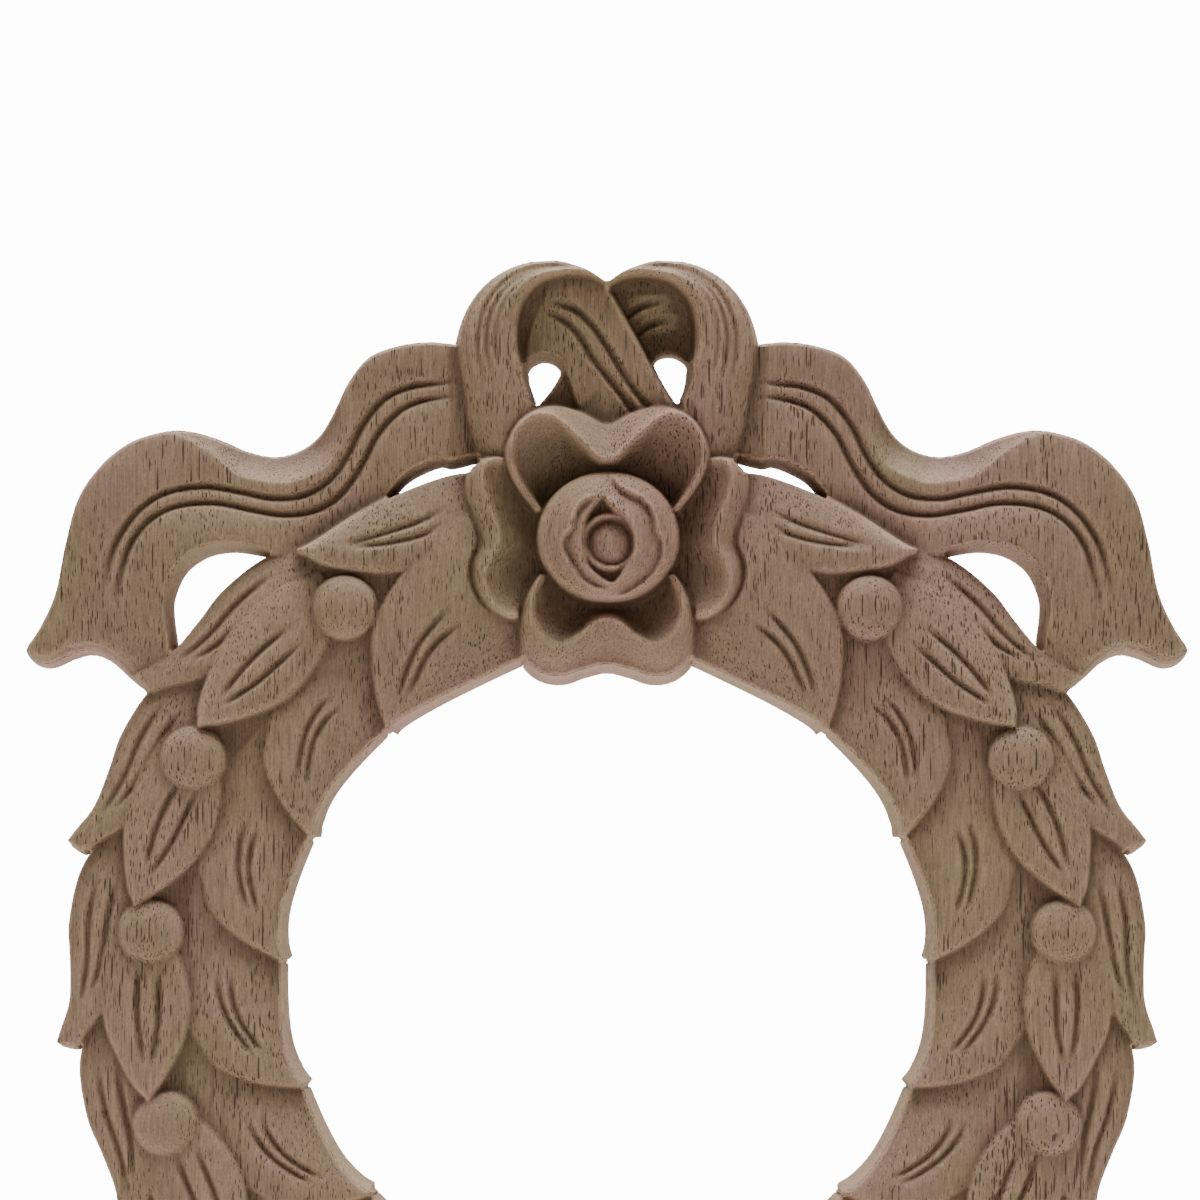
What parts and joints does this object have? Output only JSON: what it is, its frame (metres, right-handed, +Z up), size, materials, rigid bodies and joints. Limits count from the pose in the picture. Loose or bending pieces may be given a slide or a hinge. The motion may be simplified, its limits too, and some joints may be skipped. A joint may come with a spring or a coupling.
{
  "type": "carved wood wreath applique",
  "caption": "Laurel wreath carved from one board of light hardwood, tied with a ribbon bow and a rose at its head, with a flat back for gluing to furniture or a wall.",
  "frame": {"origin": "on the flat back face, behind the middle of the rose at the wreath's head", "axes": "+Z up the wreath towards the bow, +X to the right seen from the front, +Y out of the back into what the applique is fixed to; the carving faces -Y"},
  "size_m": [0.202, 0.0186, 0.2167],
  "materials": {
    "raw_hardwood": "raw, sanded, unpainted"
  },
  "bodies": {
    "root": {"carved_wreath_applique": "raw_hardwood"}
  },
  "joints": []
}
